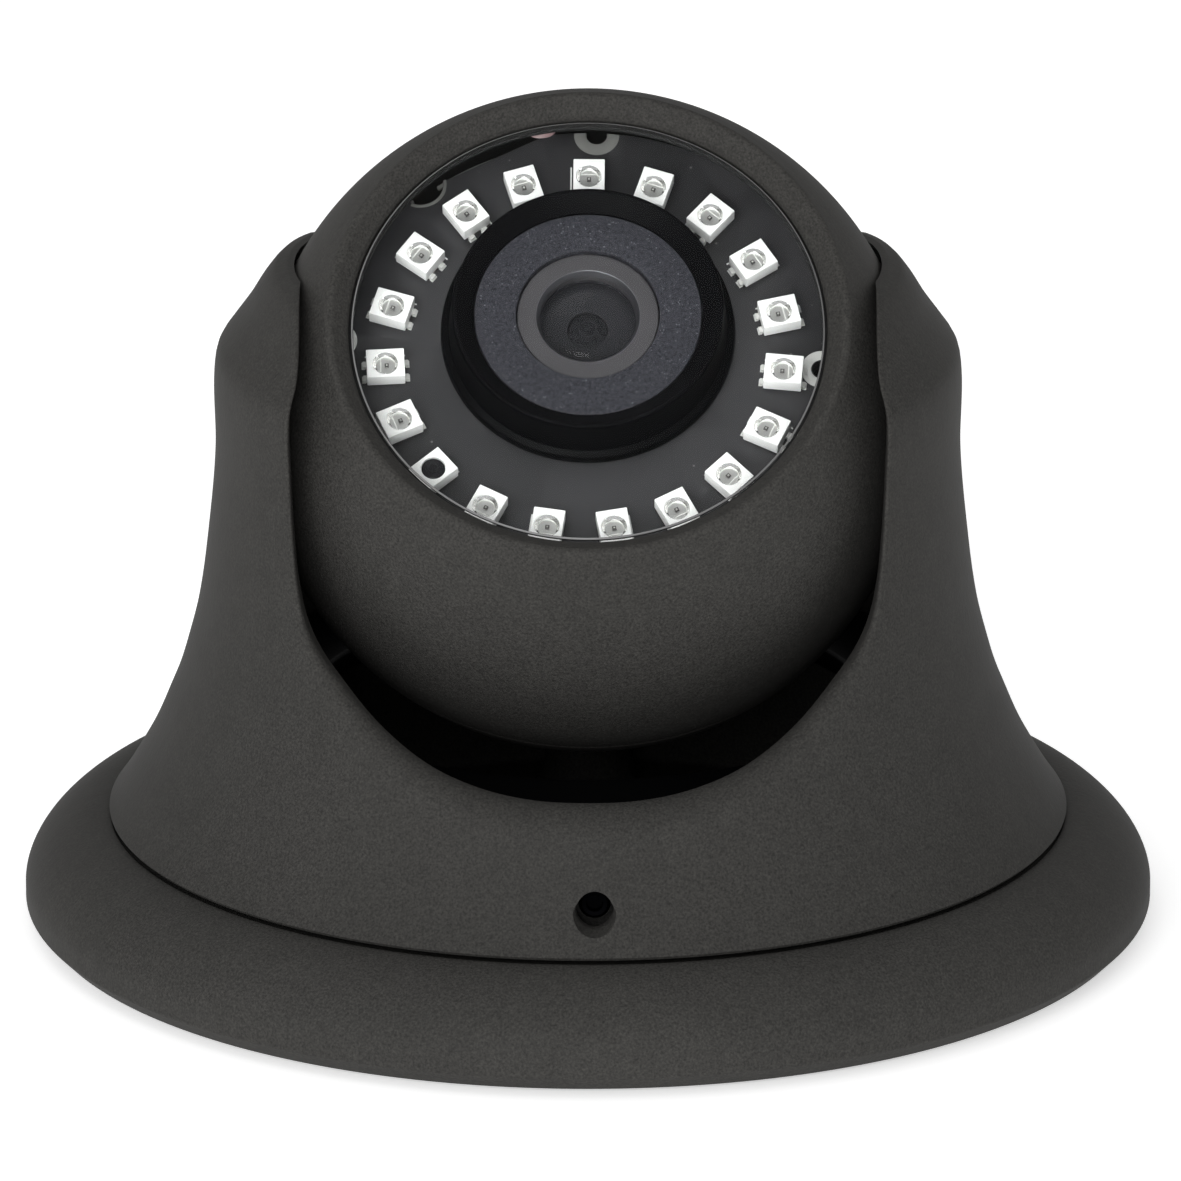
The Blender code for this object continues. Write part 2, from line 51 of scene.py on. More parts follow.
# ---- the same places as in the CAD part ----
BALL_CENTRE_Z = 47.3
BALL_RADIUS = 30.7
BALL_WALL = 2.5
AXIS_ELEVATION = 45.0
SPLIT_Z = -9.0
SEAM_HEIGHT = 9.6
SEAM_RADIUS = 44.9
BASE_RADIUS = 52.6
BASE_FOOT_RADIUS = 51.1
BASE_EDGE_TOP = 3.1
BASE_FLOOR = 2.6
BOSS_CIRCLE = 28.8
BOSS_ANGLES = (90, 210, 330)
MOUNT_HOLE_CIRCLE = 20.0
MOUNT_HOLE_ANGLES = (30, 150, 270)
CABLE_HOLE_RADIUS = 8.0
BOARD_TOP = 11.5
BOARD_THICKNESS = 1.6
BOARD_RADIUS = 24.0
LED_COUNT = 19
SENSOR_INDEX = 12
LED_CIRCLE = 18.35
LENS_OFFSET = 2.75
RIM_RADIUS = 21.9
RIM_Z = 17.9
GLASS_Z = (17.1, 17.75)

# ---- where the looks differ a little from the CAD part ----
SHOULDER_EXPONENT = 1.16    # the base's shoulder is slightly fuller
LED_RING_SHIFT = -0.3       # the ring of lamps sits a little to one side, and
LED_RING_TURN = 1.1         # is turned by this many degrees
EAR_REACH = 1.7             # at their tops, the ears' back edges are this much nearer the middle
EAR_DROP = 0.9              # than the front ones, and this much lower

BALL = Matrix.Translation((0, 0, BALL_CENTRE_Z * MM))
BALL = BALL @ Matrix.Rotation(math.radians(90 - AXIS_ELEVATION), 4, "X")
LENS = BALL @ Matrix.Translation((0, LENS_OFFSET * MM, 0))


# ---- materials ----
class Nodes:
    """A node tree with short calls for the few nodes that the materials need."""

    def __init__(self, name):
        self.material = bpy.data.materials.new(name)
        self.material.use_nodes = True
        self.tree = self.material.node_tree
        self.shader = self.tree.nodes["Principled BSDF"]
        self.coords = self.tree.nodes.new("ShaderNodeTexCoord").outputs["Object"]

    def put(self, kind, links=(), **settings):
        node = self.tree.nodes.new(kind)
        for key, value in settings.items():
            setattr(node, key, value)
        for socket, source in dict(links).items():
            self.tree.links.new(source, node.inputs[socket])
        return node

    def noise(self, scale, detail=2.0, rough=0.5):
        node = self.put("ShaderNodeTexNoise", {"Vector": self.coords})
        node.inputs["Scale"].default_value = scale
        node.inputs["Detail"].default_value = detail
        node.inputs["Roughness"].default_value = rough
        return node.outputs["Fac"]

    def ramp(self, source, stops):
        node = self.put("ShaderNodeValToRGB", {"Fac": source})
        elements = node.color_ramp.elements
        while len(elements) < len(stops):
            elements.new(0.5)
        for element, (place, colour) in zip(elements, stops):
            element.position = place
            element.color = (*colour, 1.0)
        return node.outputs["Color"]

    def range(self, source, low, high, from_low=0.3, from_high=0.7):
        node = self.put("ShaderNodeMapRange", {"Value": source})
        node.inputs["From Min"].default_value = from_low
        node.inputs["From Max"].default_value = from_high
        node.inputs["To Min"].default_value = low
        node.inputs["To Max"].default_value = high
        return node.outputs["Result"]

    def mix(self, factor, a, b, blend="MIX"):
        node = self.put("ShaderNodeMix", data_type="RGBA", blend_type=blend)
        for index, value in ((0, factor), (6, a), (7, b)):
            if hasattr(value, "links"):
                self.tree.links.new(value, node.inputs[index])
            else:
                node.inputs[index].default_value = value if index == 0 else (*value, 1.0)
        return node.outputs[2]

    def bump(self, height, strength, distance, under=None):
        links = {"Height": height}
        if under is not None:
            links["Normal"] = under
        node = self.put("ShaderNodeBump", links)
        node.inputs["Strength"].default_value = strength
        node.inputs["Distance"].default_value = distance
        return node.outputs["Normal"]

    def surface(self, colour, roughness, normal=None, metallic=0.0, specular=0.5, ior=1.45):
        for socket, value in (("Base Color", colour), ("Roughness", roughness), ("Normal", normal)):
            if hasattr(value, "links"):
                self.tree.links.new(value, self.shader.inputs[socket])
            elif value is not None:
                filled = (*value, 1.0) if socket == "Base Color" else value
                self.shader.inputs[socket].default_value = filled
        self.shader.inputs["Metallic"].default_value = metallic
        self.shader.inputs["Specular IOR Level"].default_value = specular
        self.shader.inputs["IOR"].default_value = ior
        return self.material


def tint(colour, factor):
    return tuple(c * factor for c in colour)


def powder_coat(name, colour, seed=0.0):
    """Fine matte powder coat: a pebbled grain of about a third of a millimetre, and a faint mottle."""
    n = Nodes(name)
    grain = n.noise(4300.0 + seed, 3.0, 0.65)
    mottle = n.noise(420.0 + seed, 3.0, 0.6)
    wide = n.noise(38.0 + seed, 2.0, 0.5)
    base = n.ramp(wide, [(0.3, tint(colour, 0.955)), (0.7, tint(colour, 1.045))])
    mottled = n.ramp(mottle, [(0.32, (0.42, 0.42, 0.42)), (0.68, (0.58, 0.58, 0.58))])
    speckle = n.ramp(grain, [(0.3, (0.28, 0.28, 0.28)), (0.5, (0.5, 0.5, 0.5)), (0.7, (0.74, 0.74, 0.73))])
    mixed = n.mix(0.3, base, mottled, "OVERLAY")
    mixed = n.mix(1.0, mixed, speckle, "OVERLAY")
    lumps = n.bump(n.noise(1700.0 + seed, 2.0, 0.5), 0.45, 0.00005)
    fine = n.bump(grain, 0.5, 0.00003, lumps)
    return n.surface(mixed, n.range(grain, 0.6, 0.8), fine, specular=0.14, ior=1.45)


def plastic(name, colour, rough=(0.3, 0.42), grain=900.0, strength=0.12, specular=0.5):
    """Moulded plastic with a slight waviness and a fine spark-eroded grain."""
    n = Nodes(name)
    texture = n.noise(grain, 3.0, 0.6)
    broad = n.noise(60.0, 2.0)
    mixed = n.mix(n.range(broad, 0.0, 1.0), tint(colour, 0.85), tint(colour, 1.2))
    normal = n.bump(texture, strength, 0.00004)
    return n.surface(mixed, n.range(texture, *rough), normal, specular=specular)


def rubber(name, colour=(0.014, 0.014, 0.014)):
    n = Nodes(name)
    texture = n.noise(1400.0, 4.0, 0.7)
    mixed = n.mix(n.range(texture, 0.0, 1.0), tint(colour, 0.7), tint(colour, 1.5))
    return n.surface(mixed, n.range(texture, 0.68, 0.86), n.bump(texture, 0.3, 0.00004), specular=0.3)


def metal(name, colour, rough=(0.22, 0.38), scale=700.0):
    """Machined or plated metal with fine tool marks and a few dull patches."""
    n = Nodes(name)
    marks = n.noise(scale, 4.0, 0.6)
    patches = n.noise(160.0, 3.0)
    mixed = n.mix(n.range(patches, 0.0, 1.0), tint(colour, 0.78), colour)
    return n.surface(mixed, n.range(marks, *rough), n.bump(marks, 0.15, 0.00002), metallic=1.0)


def board_material():
    """Black solder mask: satin, with faint copper under it and a little dust."""
    n = Nodes("circuit_board")
    pours = n.noise(95.0, 1.0, 0.4)
    copper = n.ramp(pours, [(0.46, (0.0, 0.0, 0.0)), (0.49, (1.0, 1.0, 1.0))])
    mask = n.mix(copper, (0.0235, 0.0234, 0.0247), (0.031, 0.0305, 0.0322))
    speck = n.put("ShaderNodeTexVoronoi", {"Vector": n.coords})
    speck.inputs["Scale"].default_value = 620.0
    dust = n.ramp(speck.outputs["Distance"], [(0.05, (1.0, 1.0, 1.0)), (0.085, (0.0, 0.0, 0.0))])
    where = n.ramp(n.noise(240.0, 2.0), [(0.55, (0.0, 0.0, 0.0)), (0.63, (1.0, 1.0, 1.0))])
    dusty = n.mix(1.0, dust, where, "MULTIPLY")
    colour = n.mix(dusty, mask, (0.16, 0.155, 0.15))
    weave = n.noise(1500.0, 2.0)
    normal = n.bump(weave, 0.1, 0.00003, n.bump(copper, 0.25, 0.00003))
    return n.surface(colour, n.range(weave, 0.34, 0.46), normal, specular=0.42, ior=1.5)


def sparkle_material():
    """Dark blue-grey paint full of tiny bright flakes, on the ring inside the hood."""
    n = Nodes("textured_plate")
    cells = n.put("ShaderNodeTexVoronoi", {"Vector": n.coords})
    cells.inputs["Scale"].default_value = 4200.0
    flakes = n.ramp(cells.outputs["Distance"], [(0.2, (1.0, 1.0, 1.0)), (0.34, (0.0, 0.0, 0.0))])
    sparse = n.ramp(n.noise(2600.0, 3.0, 0.6), [(0.52, (0.0, 0.0, 0.0)), (0.66, (1.0, 1.0, 1.0))])
    bright = n.mix(1.0, flakes, sparse, "MULTIPLY")
    body = n.ramp(n.noise(3300.0, 3.0, 0.6), [(0.32, (0.013, 0.013, 0.017)), (0.68, (0.041, 0.041, 0.049))])
    colour = n.mix(bright, body, (0.16, 0.16, 0.18))
    grain = n.noise(3900.0, 2.0, 0.5)
    normal = n.bump(grain, 0.4, 0.00004)
    return n.surface(colour, n.range(grain, 0.42, 0.6), normal, specular=0.2)


def see_through(name, tint_colour, ior, roughness=0.0, wavy=True):
    """Clear glass or resin that lets lamps through."""
    n = Nodes(name)
    normal = None
    if wavy:
        normal = n.bump(n.noise(55.0, 1.0), 0.02, 0.0002)
    n.surface(tint_colour, roughness, normal, ior=ior)
    n.shader.inputs["Transmission Weight"].default_value = 1.0
    clear = n.put("ShaderNodeBsdfTransparent")
    clear.inputs["Color"].default_value = (*tint_colour, 1.0)
    path = n.put("ShaderNodeLightPath")
    join = n.put("ShaderNodeMixShader")
    n.tree.links.new(path.outputs["Is Shadow Ray"], join.inputs["Fac"])
    n.tree.links.new(n.shader.outputs[0], join.inputs[1])
    n.tree.links.new(clear.outputs[0], join.inputs[2])
    output = next(x for x in n.tree.nodes if x.type == "OUTPUT_MATERIAL")
    n.tree.links.new(join.outputs[0], output.inputs["Surface"])
    return n.material


COAT = (0.0335, 0.0325, 0.0305)
coat_base = powder_coat("powder_coat_base", tint(COAT, 1.05))
coat_cover = powder_coat("powder_coat_cover", COAT, 11.0)
# The ball's copy of the coat is 7% lighter than the cover's: painted light, making up for the shade that
# the cover throws on the ball.
coat_ball_lightened = powder_coat("powder_coat_ball", tint(COAT, 1.07), 23.0)
black_plastic = plastic("black_plastic", (0.0012, 0.0013, 0.0016), (0.4, 0.45), 3200.0, 0.008, 0.035)
matte_plastic = plastic("hood_matte", (0.0018, 0.0018, 0.0022), (0.4, 0.48), 3600.0, 0.05, 0.03)
rubber_black = rubber("rubber")
nylon = plastic("nylon", (0.62, 0.6, 0.55), (0.4, 0.55), 700.0, 0.08)
steel = metal("steel", (0.56, 0.55, 0.53))
dark_steel = metal("dark_steel", (0.0015, 0.0015, 0.0018), (0.4, 0.55))
pad_grey = plastic("dull_pad", (0.17, 0.17, 0.16), (0.35, 0.5), 900.0, 0.2)
tin = plastic("tinned_pad", (0.5, 0.5, 0.48), (0.3, 0.45), 900.0, 0.25)
window_glass = see_through("window_glass", (0.97, 0.98, 0.98), 1.13)
# pale grey for the painted glint along the window pane's edge
painted_glint_grey = plastic("window_glint_paint", (0.2, 0.2, 0.2), (0.3, 0.5), 1200.0, 0.2)
circuit_board = board_material()
silkscreen = plastic("silkscreen", (0.72, 0.72, 0.7), (0.5, 0.65), 1800.0, 0.1)
led_body = plastic("led_package", (0.96, 0.96, 0.94), (0.32, 0.45), 2400.0, 0.05)
led_cup = metal("led_cup", (0.78, 0.78, 0.77), (0.28, 0.42), 900.0)
led_die = plastic("led_die", (0.05, 0.045, 0.045), (0.2, 0.3), 2500.0, 0.05)
led_resin = see_through("led_resin", (0.93, 0.93, 0.92), 1.42, 0.02, False)
sensor_dark = plastic("sensor_package", (0.01, 0.01, 0.0115), (0.14, 0.22), 2400.0, 0.02, 0.25)
textured_plate = sparkle_material()
lens_metal = plastic("lens_metal", (0.052, 0.05, 0.053), (0.42, 0.52), 1600.0, 0.12, 0.2)
lens_edge = metal("lens_edge", (0.17, 0.17, 0.18), (0.3, 0.4), 2500.0)
lens_glass = see_through("lens_glass", (0.8, 0.8, 0.83), 1.2, 0.0, False)
# near-black for the painted shade inside the lens
lens_shade_dark = plastic("pupil", (0.015, 0.015, 0.016), (0.25, 0.3), 2400.0, 0.01, 0.15)
inner_ring = plastic("inner_ring", (0.026, 0.026, 0.027), (0.55, 0.6), 2600.0, 0.01, 0.08)
filter_glass = plastic("filter_glass", (0.2, 0.035, 0.05), (0.05, 0.1), 300.0, 0.01)
pink_label = plastic("varnish", (0.3, 0.19, 0.19), (0.3, 0.5), 700.0, 0.3)


# ---- mesh helpers ----
SHARP_ANGLE = 32    # edges bent by more degrees than this stay sharp


def smooth(mesh, angle=SHARP_ANGLE):
    mesh.shade_smooth()
    mesh.set_sharp_from_angle(angle=math.radians(angle))


def corners(points, closed=True, steps=5):
    """Rounds the corners of an outline. A point is (r, z) for a sharp corner or (r, z, radius)."""
    result = []
    count = len(points)
    for i, point in enumerate(points):
        radius = point[2] if len(point) > 2 else 0.0
        here = Vector(point[:2])
        if not radius or (not closed and i in (0, count - 1)):
            result.append(tuple(here))
            continue
        before = Vector(points[i - 1][:2]) - here
        after = Vector(points[(i + 1) % count][:2]) - here
        half = before.angle(after) / 2
        reach = min(radius / math.tan(half), 0.49 * before.length, 0.49 * after.length)
        radius = reach * math.tan(half)
        start, end = here + before.normalized() * reach, here + after.normalized() * reach
        centre = here + (before.normalized() + after.normalized()).normalized() * (radius / math.sin(half))
        a, b = start - centre, end - centre
        sweep = a.angle_signed(b)
        for k in range(steps + 1):
            turn = -sweep * k / steps
            c, s = math.cos(turn), math.sin(turn)
            result.append((centre.x + a.x * c - a.y * s, centre.y + a.x * s + a.y * c))
    return result


def arc(radius, z_from, z_to, count, centre_z=0.0):
    a0, a1 = (math.asin(max(-1.0, min(1.0, (z - centre_z) / radius))) for z in (z_from, z_to))
    angles = [a0 + (a1 - a0) * i / (count - 1) for i in range(count)]
    return [(radius * math.cos(a), centre_z + radius * math.sin(a)) for a in angles]


def around(radius, angle):
    a = math.radians(angle)
    return radius * math.cos(a), radius * math.sin(a)


def new_object(name, data):
    obj = bpy.data.objects.new(name, data)
    bpy.context.scene.collection.objects.link(obj)
    return obj


def object_from(name, mesh, material, place, angle=SHARP_ANGLE):
    """The mesh as an object: moved to its place, cleaned, and smooth apart from its sharp edges."""
    if place is not None:
        mesh.transform(place)
    mesh.materials.append(material)
    obj = new_object(name, mesh)
    bm = bmesh.new()
    bm.from_mesh(obj.data)
    bmesh.ops.remove_doubles(bm, verts=bm.verts, dist=1e-7)
    bmesh.ops.dissolve_degenerate(bm, edges=bm.edges, dist=1e-7)
    bmesh.ops.recalc_face_normals(bm, faces=bm.faces)
    bm.to_mesh(obj.data)
    bm.free()
    smooth(mesh, angle)
    return obj


def add(name, vertices, faces, material, place=None, angle=SHARP_ANGLE):
    """A new object from points in millimetres. place is the frame they are in."""
    mesh = bpy.data.meshes.new(name)
    mesh.from_pydata([tuple(c * MM for c in v) for v in vertices], [], faces)
    return object_from(name, mesh, material, place, angle)


def revolve(name, profile, material, place=None, steps=128, ring=True, shift=(0, 0)):
    """Turns an outline of (r, z) about Z. A solid's outline starts and ends on the axis."""
    vertices, faces, rows = [], [], []
    for r, z in profile:
        if r < 1e-6:
            rows.append([len(vertices)])
            vertices.append((shift[0], shift[1], z))
        else:
            rows.append(list(range(len(vertices), len(vertices) + steps)))
            for k in range(steps):
                a = math.tau * k / steps
                vertices.append((shift[0] + r * math.cos(a), shift[1] + r * math.sin(a), z))
    pairs = list(zip(rows, rows[1:] + rows[:1])) if ring else list(zip(rows, rows[1:]))
    for low, high in pairs:
        for k in range(steps):
            j = (k + 1) % steps
            if len(low) == 1 and len(high) == 1:
                continue
            if len(low) == 1:
                faces.append((low[0], high[k], high[j]))
            elif len(high) == 1:
                faces.append((low[k], high[0], low[j]))
            else:
                faces.append((low[k], high[k], high[j], low[j]))
    return add(name, vertices, faces, material, place)


def prism(name, outline, bottom, top, material, place=None, bevel=0.0):
    """A flat piece with this outline, with its top and bottom edges rounded."""
    mesh = bpy.data.meshes.new(name)
    bm = bmesh.new()
    face = bm.faces.new([bm.verts.new((x * MM, y * MM, bottom * MM)) for x, y in outline])
    lifted = bmesh.ops.extrude_face_region(bm, geom=[face])
    moved = [v for v in lifted["geom"] if isinstance(v, bmesh.types.BMVert)]
    bmesh.ops.translate(bm, verts=moved, vec=(0, 0, (top - bottom) * MM))
    bmesh.ops.recalc_face_normals(bm, faces=bm.faces)
    if bevel:
        edges = [e for e in bm.edges if len(e.link_faces) == 2 and e.calc_face_angle() > 0.6]
        bmesh.ops.bevel(bm, geom=edges, offset=bevel * MM, segments=2, affect="EDGES", profile=0.6)
    bm.to_mesh(mesh)
    bm.free()
    return object_from(name, mesh, material, place)


def box_outline(width, height, centre=(0, 0)):
    x, y = width / 2, height / 2
    return [(centre[0] + a * x, centre[1] + b * y) for a, b in ((-1, -1), (1, -1), (1, 1), (-1, 1))]


def join(objects, name):
    """One object from several, keeping each one's material."""
    first = objects[0]
    bm = bmesh.new()
    materials = []
    for obj in objects:
        slots = []
        for m in obj.data.materials:
            if m not in materials:
                materials.append(m)
            slots.append(materials.index(m))
        part = obj.data.copy()
        part.transform(obj.matrix_world)
        for polygon in part.polygons:
            polygon.material_index = slots[polygon.material_index]
        bm.from_mesh(part)
        bpy.data.meshes.remove(part)
    mesh = bpy.data.meshes.new(name)
    bm.to_mesh(mesh)
    bm.free()
    for m in materials:
        mesh.materials.append(m)
    for obj in objects[1:]:
        bpy.data.objects.remove(obj, do_unlink=True)
    first.data = mesh
    first.matrix_world = Matrix.Identity(4)
    first.name = name
    smooth(mesh)
    return first


def boolean(obj, cutters, operation="DIFFERENCE", angle=SHARP_ANGLE):
    """Cuts or joins the cutters into obj and removes them."""
    for cutter in cutters:
        modifier = obj.modifiers.new("cut", "BOOLEAN")
        modifier.operation = operation
        modifier.solver = "EXACT"
        modifier.object = cutter
    depsgraph = bpy.context.evaluated_depsgraph_get()
    depsgraph.update()
    mesh = bpy.data.meshes.new_from_object(obj.evaluated_get(depsgraph), depsgraph=depsgraph)
    obj.modifiers.clear()
    obj.data = mesh
    for cutter in cutters:
        bpy.data.objects.remove(cutter, do_unlink=True)
    while len(mesh.materials) > 1:
        mesh.materials.pop()
    smooth(mesh, angle)
    return obj


def paint(obj, place, pick):
    """Sets each face's material slot to pick(r, y, z), from its middle in millimetres in this frame."""
    inverse = place.inverted()
    for polygon in obj.data.polygons:
        middle = inverse @ polygon.center
        r = math.hypot(middle.x, middle.y) / MM
        polygon.material_index = pick(r, middle.y / MM, middle.z / MM)


def show(obj, body, replaced=()):
    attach(obj, body)
    if replaced:
        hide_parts(*replaced)
    return obj


def along_x(length_from, length_to, radius, z):
    """A rod along X, to cut a bore with."""
    place = Matrix.Translation((0, 0, z * MM)) @ Matrix.Rotation(math.pi / 2, 4, "Y")
    profile = [(0, length_to), (radius, length_to), (radius, length_from), (0, length_from)]
    return revolve("cutter", profile, steel, place, 40, False)


# ---- base ----
def make_base():
    shoulder = []
    for i in range(31):
        a = math.radians(90 * i / 30)
        r = SEAM_RADIUS + (BASE_RADIUS - SEAM_RADIUS) * math.sin(a) ** SHOULDER_EXPONENT
        z = BASE_EDGE_TOP + (SEAM_HEIGHT - BASE_EDGE_TOP) * max(0.0, math.cos(a)) ** SHOULDER_EXPONENT
        shoulder.append((r, z))
    outline = [(37.4, 16.4, 0.5), (37.4, SEAM_HEIGHT - 0.5, 0.4), (44.3, SEAM_HEIGHT - 0.5, 0.2)]
    outline += [(44.6, SEAM_HEIGHT, 0.15)] + shoulder[1:]
    outline += [(BASE_RADIUS, 1.5, 0.5), (BASE_FOOT_RADIUS, 0, 0.35), (48.6, 0, 0.2), (48.6, 1.1, 0.2),
                (45.9, 1.1, 0.2)]
    outline += [(45.9, 0, 0.2), (CABLE_HOLE_RADIUS, 0, 0.3), (CABLE_HOLE_RADIUS, BASE_FLOOR, 0.3)]
    outline += [(34.6, BASE_FLOOR, 0.8), (34.6, 16.4, 0.5)]
    base = revolve("base_shell", corners(outline, steps=4), coat_base, steps=224)
    bosses = []
    for angle in BOSS_ANGLES:
        boss = [(0, 9.0), (1.3, 9.0), (1.3, 18.3), (3.4, 18.3), (3.6, 18.1), (3.9, 6.0), (4.6, 3.2),
                (5.4, 1.5), (0, 1.5)]
        bosses.append(revolve("boss", boss, coat_base, steps=28, ring=False,
                              shift=around(BOSS_CIRCLE, angle)))
    boolean(base, [join(bosses, "bosses")], "UNION")
    holes = []
    for angle in MOUNT_HOLE_ANGLES:
        hole = [(0, 5.0), (4.4, 5.0), (4.4, 2.7), (2.2, 1.2), (2.2, -1.0), (0, -1.0)]
        holes.append(revolve("hole", hole, coat_base, steps=40, ring=False,
                             shift=around(MOUNT_HOLE_CIRCLE, angle)))
    boolean(base, [join(holes, "holes")])
    show(base, "base", ["base_plate"])

    gasket = corners([(48.2, 0.75, 0.3), (48.2, 0.0, 0.2), (46.3, 0.0, 0.2), (46.3, 0.75, 0.3)], steps=4)
    show(revolve("base_gasket", gasket, rubber_black, steps=160), "base", ["wall_gasket"])
    gland = [(9.6, 4.4, 0.4), (9.6, 2.9, 0.1), (7.7, 2.9, 0.1), (7.7, 0.4, 0.3), (4.2, 0.4, 0.3),
             (4.2, 1.6, 0.2)]
    gland += [(3.7, 2.2, 0.2), (4.2, 2.8, 0.2), (3.7, 3.4, 0.2), (4.2, 4.0, 0.2), (4.2, 6.4, 0.3),
              (6.0, 6.4, 0.3), (6.6, 4.4, 0.5)]
    show(revolve("cable_grommet", corners(gland, steps=3), rubber_black, steps=72), "base",
         ["cable_gland"])

    ring = corners([(35.4, 20.9, 0.3), (35.4, 18.9, 0.2), (25.6, 18.9, 0.2), (25.6, 20.9, 0.4)], steps=3)
    retainer = revolve("retaining_ring", ring, black_plastic, steps=144)
    bores = [
        revolve("bore", [(0, 25), (1.6, 25), (1.6, 15), (0, 15)], steel, steps=28, ring=False,
                shift=around(BOSS_CIRCLE, a))
        for a in BOSS_ANGLES
    ]
    boolean(retainer, [join(bores, "bores")])
    show(retainer, "base", ["pan_ring"])
    for i, angle in enumerate(BOSS_ANGLES):
        place = Matrix.Translation((*[c * MM for c in around(BOSS_CIRCLE, angle)], 0))
        head = [(0, 23.0), (1.2, 22.95), (2.0, 22.7), (2.45, 22.2), (2.6, 21.6), (2.6, 21.2), (1.0, 21.2),
                (1.0, 10.6), (0, 10.2)]
        screw = revolve("screw", head, dark_steel, place, 40, False)
        cross = [
            prism("cross", box_outline(2.6, 0.55), 22.1, 24, dark_steel, place @ Matrix.Rotation(t, 4, "Z"))
            for t in (0.3, 0.3 + math.pi / 2)
        ]
        boolean(screw, cross)
        screw.name = f"retaining_screw_{i + 1}"
        show(screw, "base", [f"ring_screw_{i + 1}"])


# ---- bell cover, as one grid of columns that run round its section ----
COVER_OUTER = [
    (44.7, 10.2), (43.9, 11.3), (42.3, 13.9), (40.6, 17.0), (39.1, 20.5), (38.1, 23.0), (37.2, 26.0),
    (36.2, 30.0), (35.1, 38.0), (34.5, 45.0), (34.5, 53.0), (34.2, 54.5), (33.4, 55.7), (31.6, 58.2),
    (30.1, 60.6), (28.8, 62.1), (27.9, 62.45),
]
COVER_INNER = [
    (37.3, 18.6), (36.0, 21.6), (34.4, 26.4), (33.4, 31.4), (32.6, 37.8), (32.1, 43.7), (32.1, 52.1),
]
EAR_TOP = 62.45
EAR_TOP_OUTER = 27.9     # radii of the flat top of an ear
EAR_TOP_INNER = 27.1
EAR_SEAT_RADIUS = 31.05  # the hollow that the ball turns in
COVER_SHARP_ANGLE = 38
LOCK_X, LOCK_Z = 0.6, 13.7
OPENING = [
    (0, 22.0), (5.0, 22.15), (9.7, 22.85), (14.4, 24.35), (18.9, 27.1), (22.6, 30.6), (24.4, 32.6),
    (25.6, 34.8), (26.3, 37.5), (26.8, 42.0), (27.1, 48.0), (27.2, 53.2), (27.0, 54.7), (26.55, 56.3),
    (26.4, 57.6), (26.4, EAR_TOP),
]
LIP_BOTTOM = 2.4
LIP_SIDE = 0.55


def curve_through(points, per_span=10):
    """Points of a smooth curve through these, each with its distance along the curve."""
    dense = []
    for i in range(len(points) - 1):
        a, b, c, d = (Vector(points[max(0, min(len(points) - 1, i + k))]) for k in (-1, 0, 1, 2))
        span = (c - b).length
        before = max((b - a).length, 1e-6)
        after = max((d - c).length, 1e-6)
        start = ((c - b) / span + (b - a) / before) / 2 * span if i else (c - b)
        end = ((c - b) / span + (d - c) / after) / 2 * span if i < len(points) - 2 else (c - b)
        for k in range(per_span):
            t = k / per_span
            h = (2 * t**3 - 3 * t**2 + 1, t**3 - 2 * t**2 + t, -2 * t**3 + 3 * t**2, t**3 - t**2)
            dense.append(b * h[0] + start * h[1] + c * h[2] + end * h[3])
    dense.append(Vector(points[-1]))
    lengths = [0.0]
    for p, q in zip(dense, dense[1:]):
        lengths.append(lengths[-1] + (q - p).length)
    return dense, lengths


def look_up(values, keys, key):
    """Linear look-up of values by rising keys."""
    if key <= keys[0]:
        return values[0]
    if key >= keys[-1]:
        return values[-1]
    low, high = 0, len(keys) - 1
    while high - low > 1:
        mid = (low + high) // 2
        low, high = (mid, high) if keys[mid] <= key else (low, mid)
    t = (key - keys[low]) / (keys[high] - keys[low])
    return values[low] * (1 - t) + values[high] * t


def ease(x):
    x = max(0.0, min(1.0, x))
    return x * x * (3 - 2 * x)


def at(r, z, angle):
    """A point at this angle from the front, -Y."""
    return Vector((r * math.sin(angle), -r * math.cos(angle), z))


